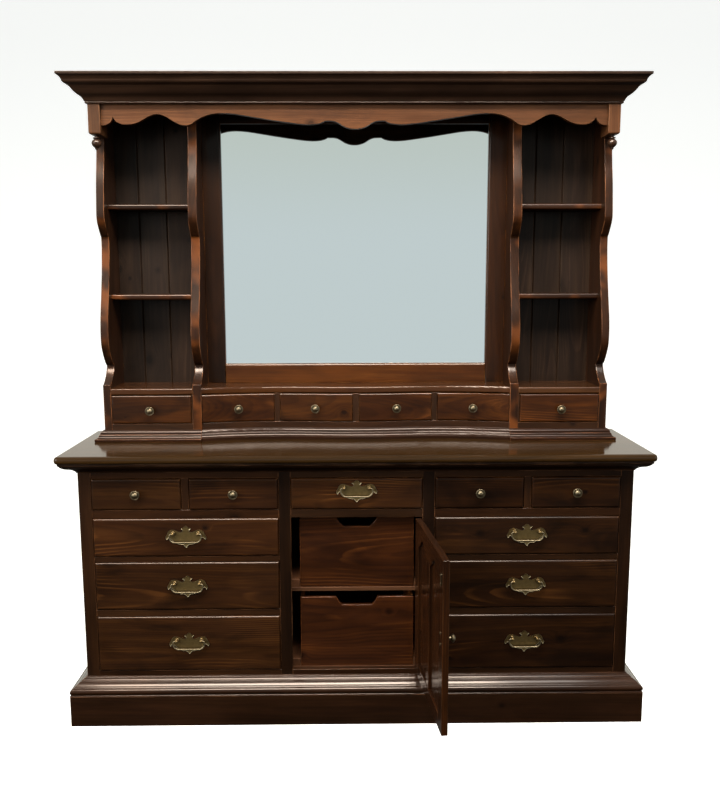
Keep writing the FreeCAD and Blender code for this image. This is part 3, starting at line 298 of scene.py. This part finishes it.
M["hutch_front"] = wood("hutch_front_pine", rgb(70, 36, 8), rgb(49, 22, 4), rgb(19, 7, 2), rgb(136, 86, 42), glow=rgb(116, 66, 26), figure=0.5, streaks=0.6, ring_power=0.3, knots=0.66, knot_size=0.7, rough=0.34, coat=1.0, coat_rough=0.16, smoke=0.6, blotch=0.4)
M["deck"] = wood("deck_pine", rgb(56, 37, 15), rgb(41, 27, 10), rgb(22, 14, 5), rgb(114, 94, 61), streaks=0.5, ring_power=0.2, knots=0.8, rough=0.3, coat=1.0, coat_rough=0.13, smoke=0.2, blotch=0.2, spec=0.0, coat_ior=1.36, grain_bump=0.08)
M["warm"] = wood("warm_pine", rgb(108, 69, 42), rgb(79, 47, 25), rgb(38, 21, 12), rgb(158, 112, 75), streaks=0.6, ring_power=0.2, glow=rgb(141, 94, 59), figure=0.3, knots=0.8, rough=0.34, coat=1.0, coat_rough=0.16, smoke=0.3, blotch=0.25, back=0.25)
M["side"] = wood("side_pine", rgb(55, 30, 15), rgb(38, 20, 9), rgb(18, 8, 4), rgb(139, 87, 52), streaks=0.6, ring_power=0.3, knots=0.74, rough=0.33, coat=0.8, coat_rough=0.16, wear=0.8, smoke=0.4, front_wear=0.45)
M["back"] = wood("back_pine", rgb(45, 32, 22), rgb(32, 22, 16), rgb(16, 9, 6), rgb(73, 54, 39), streaks=0.7, ring_power=0.3, glow=rgb(60, 43, 32), figure=0.4, knots=0.7, rough=0.42, coat=0.4, coat_rough=0.22, smoke=0.5)
M["mould"] = wood("moulding_pine", rgb(45, 25, 13), rgb(33, 18, 8), rgb(18, 8, 5), rgb(144, 99, 68), streaks=0.4, ring_power=0.25, knots=0.95, rough=0.3, coat=1.0, coat_rough=0.13, wear=0.55, smoke=0.3, grain_bump=0.06)
M["foot"] = wood("hutch_foot_pine", rgb(49, 25, 12), rgb(36, 18, 7), rgb(20, 8, 4), rgb(153, 99, 64), streaks=0.4, ring_power=0.25, knots=0.95, rough=0.3, coat=0.45, coat_rough=0.13, wear=0.55, smoke=0.3, grain_bump=0.06)
M["crown"] = wood("cornice_pine", rgb(58, 39, 27), rgb(43, 28, 20), rgb(24, 16, 12), rgb(149, 111, 83), streaks=0.4, ring_power=0.25, knots=0.95, rough=0.3, coat=1.0, coat_rough=0.13, wear=0.55, smoke=0.3, grain_bump=0.06)
M["frame"] = wood("mirror_frame_pine", rgb(48, 23, 6), rgb(34, 15, 3), rgb(15, 5, 1), rgb(130, 79, 39), streaks=0.6, ring_power=0.3, knots=0.74, rough=0.33, coat=0.8, coat_rough=0.16, wear=0.8, smoke=0.4)
M["rail"] = wood("mirror_rail_pine", rgb(84, 44, 10), rgb(62, 28, 4), rgb(27, 11, 2), rgb(141, 95, 45), streaks=0.6, ring_power=0.2, glow=rgb(114, 65, 22), figure=0.3, knots=0.8, rough=0.34, coat=1.0, coat_rough=0.16, smoke=0.3)
M["door"] = wood("door_pine", rgb(51, 25, 7), rgb(35, 16, 5), rgb(13, 6, 2), rgb(91, 57, 30), streaks=0.6, ring_power=0.3, glow=rgb(78, 42, 14), figure=0.4, knots=0.7, rough=0.34, coat=1.0, coat_rough=0.16, smoke=0.5, wear=0.35)
M["tray_front"] = wood("tray_front_pine", rgb(70, 35, 12), rgb(48, 22, 7), rgb(19, 7, 4), rgb(132, 73, 35), glow=rgb(112, 61, 24), figure=0.5, streaks=0.7, ring_power=0.4, ring=0.0085, knots=0.55, knot_size=1.2, rough=0.36, coat=0.8, coat_rough=0.16, smoke=0.45)
M["tray_side"] = wood("tray_side_pine", rgb(158, 92, 44), rgb(132, 72, 32), rgb(84, 42, 18), rgb(206, 140, 84), streaks=0.5, ring_power=0.3, knots=0.85, rough=0.42, coat=0.2, blotch=0.15, smoke=0.1, wear=0.9)
M["tray_in"] = wood("tray_inner_pine", rgb(72, 31, 7), rgb(54, 21, 4), rgb(26, 9, 2), rgb(94, 51, 20), streaks=0.5, ring_power=0.3, knots=0.85, rough=0.42, coat=0.3, blotch=0.2, smoke=0.3)
M["box"] = wood("box_pine", rgb(176, 120, 70), rgb(150, 98, 54), rgb(104, 64, 34), rgb(196, 148, 98), streaks=0.45, ring_power=0.3, knots=0.85, rough=0.5, coat=0.05, blotch=0.15, smoke=0.1)
M["inside"] = wood("inside_pine", rgb(92, 60, 38), rgb(70, 44, 28), rgb(42, 25, 16), rgb(120, 84, 58), streaks=0.5, ring_power=0.35, knots=0.8, rough=0.55, coat=0.0, smoke=0.2)
M["brass"] = brass("aged_brass", (0.235, 0.158, 0.06, 1), (0.07, 0.044, 0.016, 1), (0.38, 0.31, 0.19, 1), 0.42)
M["bail"] = brass("rubbed_brass", (0.27, 0.215, 0.125, 1), (0.12, 0.085, 0.04, 1), (0.3, 0.24, 0.15, 1), 0.42)
M["knob"] = brass("knob_brass", (0.21, 0.165, 0.095, 1), (0.045, 0.03, 0.014, 1), (0.24, 0.2, 0.13, 1), 0.34)
M["steel"] = brass("hinge_brass", (0.3, 0.23, 0.13, 1), (0.08, 0.06, 0.035, 1), (0.4, 0.32, 0.2, 1), 0.4)

m, t, p = fresh("mirror_silver")
p.inputs["Base Color"].default_value = (0.93, 0.955, 0.95, 1.0)
p.inputs["Metallic"].default_value = 1.0
geo = t.node("ShaderNodeNewGeometry")
haze = t.noise(t.stretch(geo.outputs["Position"], (2.0, 2.0, 3.0)), 1.0, 3.0, 0.6)
t.put(p.inputs["Roughness"], t.line(haze, 0.35, 0.75, 0.012, 0.035))
M["mirror"] = m


# ------------------------------------------------------------------ boards taken from the frame, with rounded edges and their own grain
def solids(node):
    """The closed solids of a node, each as (points, triangles)."""
    me = nodes[node].data
    co = np.empty(len(me.vertices) * 3)
    me.vertices.foreach_get("co", co)
    co = np.round(co.reshape(-1, 3), 6)
    ids, points = {}, []
    at = np.empty(len(co), int)
    for i, v in enumerate(map(tuple, co)):
        if v not in ids:
            ids[v] = len(points)
            points.append(v)
        at[i] = ids[v]
    out, tris, loose = [], [], {}
    for poly in me.polygons:
        f = [int(at[v]) for v in poly.vertices]
        if len(set(f)) < 3:
            continue
        tris.append(f)
        for a, b in zip(f, f[1:] + f[:1]):
            if loose.get((b, a), 0) > 0:
                loose[(b, a)] -= 1
                if loose[(b, a)] == 0:
                    del loose[(b, a)]
            else:
                loose[(a, b)] = loose.get((a, b), 0) + 1
        if not loose:
            out.append(tris)
            tris = []
    if tris:
        out.append(tris)
    result = []
    for tris in out:
        used = sorted({v for f in tris for v in f})
        index = {v: i for i, v in enumerate(used)}
        result.append(([points[v] for v in used], [[index[v] for v in f] for f in tris]))
    return result


def unswing(v):
    """A point of the open door, put back where it is when the door is shut."""
    return Matrix.Rotation(-OPEN, 3, "Z") @ (Vector(v) - HINGE) + HINGE


LIGHT = {
    "drawer_left_upper": 1.3, "drawer_left_middle": 0.95, "drawer_left_lower": 1.16, "drawer_right_upper": 0.82, "drawer_right_middle": 0.75,
    "drawer_right_lower": 0.77, "drawer_top_far_left": 1.04, "drawer_top_left": 0.97, "drawer_top_center": 1.38, "drawer_top_right": 0.66,
    "drawer_top_far_right": 0.75, "hutch_drawer_tower_left": 1.1, "hutch_drawer_outer_left": 1.0, "hutch_drawer_inner_left": 0.95,
    "hutch_drawer_inner_right": 0.8, "hutch_drawer_outer_right": 1.1, "hutch_drawer_tower_right": 1.2,
}


def boards(node, pick, width=0.0011, segments=2, door=False, grain=None, tilt=1.0, min_angle=24.0, spread=0.16, light=None, shape=None):
    """Builds the visible piece for a wooden node. pick(lo, hi) names the material of a board by its box when shut; light(lo, hi)
    gives its lightness, which else is the node's own with a little chance in it."""
    verts, faces, mats, edge_flag, wcs, bds = [], [], [], [], [], []
    names = []
    for k, (pts, tris) in enumerate(solids(node)):
        if shape:
            pts = shape(pts)
        bm = bmesh.new()
        vs = [bm.verts.new(p) for p in pts]
        for f in tris:
            try:
                bm.faces.new([vs[i] for i in f])
            except ValueError:
                pass
        bmesh.ops.remove_doubles(bm, verts=bm.verts, dist=2e-6)
        bmesh.ops.dissolve_limit(bm, angle_limit=math.radians(0.25), verts=bm.verts, edges=bm.edges, use_dissolve_boundaries=False)
        bm.normal_update()
        sharp = [e for e in bm.edges if len(e.link_faces) == 2 and e.calc_face_angle(0.0) > math.radians(min_angle) and e.is_convex]
        tag = bm.faces.layers.float.new("edge")
        if width > 0 and sharp:
            got = bmesh.ops.bevel(bm, geom=sharp, offset=width, offset_type="OFFSET", segments=segments, profile=0.5, affect="EDGES", clamp_overlap=True)
            for f in got["faces"]:
                f[tag] = 1.0
        bm.normal_update()
        shut = [unswing(v.co) for v in bm.verts] if door else [v.co.copy() for v in bm.verts]
        a = np.array(shut)
        lo, hi = a.min(0), a.max(0)
        dims = hi - lo
        order = list(np.argsort(-dims))
        if grain is not None:
            g = grain(lo, hi)
            if g is not None:
                order.remove(g)
                order = [g] + order
        seed = int(hashlib.md5(("%s %.3f %.3f %.3f" % (node, *((lo + hi) / 2))).encode()).hexdigest()[:8], 16)
        rnd = random.Random(seed)
        c = (lo + hi) / 2
        local = (a - c)[:, order]
        w, th = dims[order[1]], dims[order[2]]
        ay, az = math.radians(rnd.uniform(-1.6, 1.6) * tilt), math.radians(rnd.uniform(-2.2, 2.2) * tilt)
        R = np.array(Matrix.Rotation(ay, 3, "Y") @ Matrix.Rotation(az, 3, "Z"))
        local = local @ R.T
        local[:, 0] += rnd.uniform(3, 60)
        local[:, 1] += rnd.uniform(-0.35, 0.35) * max(w, 0.05)
        local[:, 2] += rnd.choice((-1, 1)) * rnd.uniform(0.02, 0.11)
        name = pick(lo, hi)
        if name not in names:
            names.append(name)
        own = LIGHT.get(node, 1.0 + rnd.uniform(-spread, spread)) if light is None else light(lo, hi)
        tone = (own, rnd.random(), rnd.random())
        start = len(verts)
        bm.verts.index_update()
        verts += [tuple(v.co) for v in bm.verts]
        wcs += [tuple(v) for v in local]
        bds += [tone] * len(bm.verts)
        for f in bm.faces:
            faces.append([start + v.index for v in f.verts])
            mats.append(names.index(name))
            edge_flag.append(f[tag])
        bm.free()
    me = bpy.data.meshes.new("piece_" + node)
    me.from_pydata(verts, [], faces)
    me.update()
    for i, n in enumerate(names):
        me.materials.append(M[n])
    me.polygons.foreach_set("material_index", mats)
    me.polygons.foreach_set("use_smooth", [True] * len(faces))
    at = me.attributes.new("wc", "FLOAT_VECTOR", "POINT")
    at.data.foreach_set("vector", np.array(wcs, np.float32).ravel())
    at = me.attributes.new("bd", "FLOAT_VECTOR", "POINT")
    at.data.foreach_set("vector", np.array(bds, np.float32).ravel())
    at = me.attributes.new("edge", "FLOAT", "FACE")
    at.data.foreach_set("value", np.array(edge_flag, np.float32))
    obj = bpy.data.objects.new("piece_" + node, me)
    scene.collection.objects.link(obj)
    wn = obj.modifiers.new("weighted", "WEIGHTED_NORMAL")
    wn.keep_sharp = False
    wn.weight = 100
    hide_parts(node)
    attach(obj, body_of[node])
    return obj


def always(name):
    return lambda lo, hi: name


def is_front(depth):
    return lambda lo, hi: "front" if lo[1] < depth else "box"


boards("case_carcass", lambda lo, hi: "rails" if abs(lo[0]) > 0.83 or hi[0] > 0.83 else "inside")
def frame_light(lo, hi):
    """The face frame's left-hand members took the stain a little lighter than those on the right."""
    x = (lo[0] + hi[0]) / 2
    if hi[2] - lo[2] > 0.3:
        return 0.68 if x < -0.6 else (0.42 if x > 0.6 else 0.33)
    return 0.72 - 0.2 * x


boards("face_frame", always("rails"), width=0.0009, light=frame_light)
boards("plinth", lambda lo, hi: "inside" if hi[2] < 0.095 and lo[2] > 0.005 else "mould", width=0.0012)
boards("deck_top", lambda lo, hi: "deck" if hi[2] > 0.84 else "mould", width=0.001)
boards("hutch_base_case", lambda lo, hi: "lip" if lo[2] > 0.99 else ("foot" if hi[2] < 0.892 else ("inside" if hi[2] < 0.908 and lo[2] > 0.88 else "rails")), width=0.001, light=lambda lo, hi: 0.85)
boards("hutch_scroll_panels", always("side"), width=0.002)
boards("hutch_shelves", always("side"), width=0.001)


def behind_floor(pts):
    """The tower planks reach 6 mm down behind the tower's floor board, so that no light shows under them."""
    low = min(p[2] for p in pts)
    return [(p[0], p[1], p[2] - 0.006) if 1.01 < low < 1.03 and p[2] < low + 0.0005 else tuple(p) for p in pts]


boards("hutch_back_boards", always("back"), width=0.0006, shape=behind_floor)
boards("mirror_frame", lambda lo, hi: "rail" if hi[2] < 1.2 else "frame", width=0.0012, light=lambda lo, hi: 1.0 if hi[0] - lo[0] > 0.5 else (0.85 if lo[0] < 0 else 1.3))
boards("valance", lambda lo, hi: "warm" if lo[2] > 1.79 else "crown", width=0.0014)
boards("cornice", always("crown"), width=0.001)
for n in nodes:
    if n.startswith("drawer_"):
        boards(n, is_front(0.01), width=0.0008)
    elif n.startswith("hutch_drawer_"):
        boards(n, lambda lo, hi: "hutch_front" if hi[2] - lo[2] > 0.088 else "box", width=0.0008)
    elif n.startswith("tray_"):
        boards(n, lambda lo, hi: "tray_front" if hi[1] < 0.05 else ("tray_side" if hi[0] - lo[0] < 0.02 else "tray_in"), width=0.0014)
boards("door_frame", always("door"), width=0.0016, door=True)
boards("door_panels", always("door"), width=0.003, door=True)



def cast(node, name, rim=0.0, width=0.0005):
    """Builds the visible piece for a node of cast brass. A back plate gets a raised rim of the given width round its sunk face."""
    verts, faces, flags = [], [], []
    for pts, tris in solids(node):
        bm = bmesh.new()
        vs = [bm.verts.new(p) for p in pts]
        for f in tris:
            try:
                bm.faces.new([vs[i] for i in f])
            except ValueError:
                pass
        bmesh.ops.remove_doubles(bm, verts=bm.verts, dist=2e-6)
        bmesh.ops.dissolve_limit(bm, angle_limit=math.radians(0.25), verts=bm.verts, edges=bm.edges, use_dissolve_boundaries=False)
        bm.normal_update()
        tag = bm.faces.layers.float.new("edge")
        wide = max(p[0] for p in pts) - min(p[0] for p in pts)
        if rim and wide > 0.1:
            face = [f for f in bm.faces if f.normal.y < -0.99]
            got = bmesh.ops.inset_region(bm, faces=face, thickness=rim, depth=-0.0009, use_even_offset=True, use_boundary=True)
            for f in got["faces"]:
                f[tag] = 1.0
            for f in [f for f in face if f.is_valid and len(f.verts) > 4]:
                ring = list(f.verts)
                bm.faces.remove(f)
                flat = delaunay_2d_cdt([Vector((v.co.x, v.co.z)) for v in ring], [], [list(range(len(ring)))], 1, 1e-7)
                sunk = sum(v.co.y for v in ring) / len(ring)
                at = [ring[o[0]] if o else bm.verts.new((c.x, sunk, c.y)) for c, o in zip(flat[0], flat[3])]
                for tri in flat[2]:
                    try:
                        bm.faces.new([at[i] for i in tri])
                    except ValueError:
                        pass
            bmesh.ops.recalc_face_normals(bm, faces=bm.faces)
        bm.normal_update()
        sharp = [e for e in bm.edges if len(e.link_faces) == 2 and e.calc_face_angle(0.0) > math.radians(30) and e.is_convex]
        if sharp:
            got = bmesh.ops.bevel(bm, geom=sharp, offset=width, offset_type="OFFSET", segments=2, profile=0.5, affect="EDGES", clamp_overlap=True)
            for f in got["faces"]:
                f[tag] = 1.0
        start = len(verts)
        bm.verts.index_update()
        verts += [tuple(v.co) for v in bm.verts]
        for f in bm.faces:
            faces.append([start + v.index for v in f.verts])
            flags.append(f[tag])
        bm.free()
    me = bpy.data.meshes.new("piece_" + node)
    me.from_pydata(verts, [], faces)
    me.update()
    me.materials.append(M[name])
    me.polygons.foreach_set("use_smooth", [True] * len(faces))
    at = me.attributes.new("edge", "FLOAT", "FACE")
    at.data.foreach_set("value", np.array(flags, np.float32))
    obj = bpy.data.objects.new("piece_" + node, me)
    scene.collection.objects.link(obj)
    wn = obj.modifiers.new("weighted", "WEIGHTED_NORMAL")
    wn.keep_sharp = False
    wn.weight = 100
    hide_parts(node)
    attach(obj, body_of[node])
    return obj


for n in nodes:
    if n.startswith("pull_plate_"):
        cast(n, "brass", rim=0.0013)
    elif n.startswith(("knob_", "hutch_knob_")):
        cast(n, "knob", width=0.0003)

for n, o in nodes.items():
    if o.hide_render:
        continue
    name = "mirror" if n == "mirror_glass" else ("steel" if "hinge" in n else ("bail" if n.startswith("bail_") else "knob"))
    o.data.materials.clear()
    o.data.materials.append(M[name])

# ------------------------------------------------------------------ floor, light and camera
m, t, p = fresh("pale_floor")
p.inputs["Base Color"].default_value = (0.88, 0.88, 0.87, 1)
p.inputs["Roughness"].default_value = 0.7
p.inputs["Emission Color"].default_value = (1.0, 1.0, 1.0, 1)
p.inputs["Emission Strength"].default_value = 0.62
verts, faces = [], []
run = [(-14.0, 0.0), (6.0, 0.0)] + [(6.0 + 5.0 * math.sin(a), 5.0 - 5.0 * math.cos(a)) for a in (math.radians(d) for d in range(5, 91, 5))] + [(11.0, 16.0)]
for y, z in run:
    verts += [(-16, y, z), (16, y, z)]
for i in range(len(run) - 1):
    faces.append((2 * i, 2 * i + 1, 2 * i + 3, 2 * i + 2))
me = bpy.data.meshes.new("floor")
me.from_pydata(verts, [], faces)
me.polygons.foreach_set("use_smooth", [True] * len(faces))
floor = bpy.data.objects.new("floor", me)
me.materials.append(m)
scene.collection.objects.link(floor)
floor.visible_glossy = False
floor.visible_diffuse = False

# a plain pale wall all round, seen only by the camera
turns = [math.radians(7.5 * i) for i in range(48)]
me = bpy.data.meshes.new("wall")
me.from_pydata([(13 * math.cos(a), 13 * math.sin(a), z) for a in turns for z in (0.0, 18.0)], [], [(2 * i, 2 * ((i + 1) % 48), 2 * ((i + 1) % 48) + 1, 2 * i + 1) for i in range(48)])
me.polygons.foreach_set("use_smooth", [True] * 48)
me.materials.append(m)
wall = bpy.data.objects.new("wall", me)
scene.collection.objects.link(wall)
wall.visible_glossy = wall.visible_diffuse = wall.visible_shadow = wall.visible_transmission = False

# the room in front is a pale wall over a dark floor, which the glass and the lacquer reflect; behind the object all
# is white, but the lacquer sees the floor there dark too, so that its sides don't turn white from above
world = bpy.data.worlds.new("studio")
scene.world = world
world.use_nodes = True
world.node_tree.nodes.clear()
t = Tree(world.node_tree)
out = t.node("ShaderNodeOutputWorld")
bg = t.node("ShaderNodeBackground")
co = t.node("ShaderNodeTexCoord").outputs["Generated"]
gx, gy, gz = t.xyz(co)
room = t.mix(t.step(gz, 0.03, 0.2), (0.56, 0.63, 0.64, 1), (0.52, 0.575, 0.53, 1))
room = t.mix(t.step(gz, 0.25, 0.6), room, (0.34, 0.34, 0.32, 1))
room = t.mix(t.step(gz, -0.19, -0.12), (0.035, 0.024, 0.017, 1), room)
low = t.mix(t.step(gz, -0.45, -0.15), (0.09, 0.085, 0.075, 1), (1.0, 0.96, 0.84, 1))
rear = t.mix(t.node("ShaderNodeLightPath").outputs["Is Glossy Ray"], (1.0, 0.96, 0.84, 1), low)
sky = t.mix(t.step(gy, -0.25, 0.3), room, rear)
t.put(bg.inputs["Color"], sky)
bg.inputs["Strength"].default_value = 1.0
t.put(out.inputs["Surface"], bg.outputs[0])


def area(name, loc, aim, size, power, color=(1, 1, 1)):
    light = bpy.data.lights.new(name, "AREA")
    light.shape = "RECTANGLE"
    light.size, light.size_y = size
    light.energy = power
    light.color = color
    o = bpy.data.objects.new(name, light)
    o.location = loc
    o.rotation_mode = "QUATERNION"
    o.rotation_quaternion = (Vector(aim) - Vector(loc)).to_track_quat("-Z", "Y")
    scene.collection.objects.link(o)
    return o


# the deck gets the light from above without its mirror image, which its matt old top doesn't show; the glass mirrors no lamp
overhead = area("overhead", (0.2, -1.3, 3.4), (0, -0.2, 0.0), (2.8, 0.9), 165, (1.0, 0.94, 0.88))
matt = area("overhead_matt", (0.2, -1.3, 3.4), (0, -0.2, 0.0), (2.8, 0.9), 165, (1.0, 0.94, 0.88))
matt.visible_glossy = False
deck_only, no_deck, no_glass = (bpy.data.collections.new(n) for n in ("deck_only", "no_deck", "no_glass"))
glass = nodes["mirror_glass"]
for o in scene.objects:
    if o.type == "MESH" and o != glass:
        (deck_only if o.name == "piece_deck_top" else no_deck).objects.link(o)
        no_glass.objects.link(o)
overhead.light_linking.receiver_collection = no_deck
matt.light_linking.receiver_collection = deck_only
left = area("left_soft", (-3.0, -2.4, 2.2), (0, 0, 0.9), (1.5, 1.9), 105, (1.0, 0.97, 0.93))
gloss = area("overhead_gloss", (-0.4, -1.3, 3.38), (-0.4, -0.2, 0.0), (2.8, 0.9), 660, (1.0, 0.8, 0.63))
gloss.visible_diffuse = False
wooden = bpy.data.collections.new("wooden")
for o in scene.collection.objects:
    if o.name.startswith("piece_") and "knob" not in o.name and "plate" not in o.name and "deck" not in o.name:
        wooden.objects.link(o)
gloss.light_linking.receiver_collection = wooden
right = area("right_soft", (3.3, -2.3, 1.9), (0, 0, 0.9), (1.0, 1.9), 16, (1.0, 0.97, 0.95))
for o in (left, right):
    o.light_linking.receiver_collection = no_glass

f, cx, cy, cz, pitch, yaw, roll = 854.35, -0.01843, -2.52516 + SHIFT, 1.37789, 0.14620, -0.01150, 0.00240
c, s, cp, sp = math.cos(yaw), math.sin(yaw), math.cos(pitch), math.sin(pitch)
ahead = Vector((-s * cp, c * cp, -sp))
right0 = Vector((c, s, 0.0))
up0 = Vector((-s * sp, c * sp, cp))
right = math.cos(roll) * right0 - math.sin(roll) * up0
up = math.sin(roll) * right0 + math.cos(roll) * up0
cam = bpy.data.cameras.new("camera")
cam.sensor_fit = "AUTO"
cam.sensor_width = 36.0
cam.lens = f / 804.0 * 36.0
cam.clip_end = 100
camera = bpy.data.objects.new("camera", cam)
camera.matrix_world = Matrix(((right.x, up.x, -ahead.x, cx), (right.y, up.y, -ahead.y, cy), (right.z, up.z, -ahead.z, cz), (0, 0, 0, 1)))
scene.collection.objects.link(camera)
scene.camera = camera
scene.view_settings.view_transform = "Standard"

bpy.context.view_layer.update()
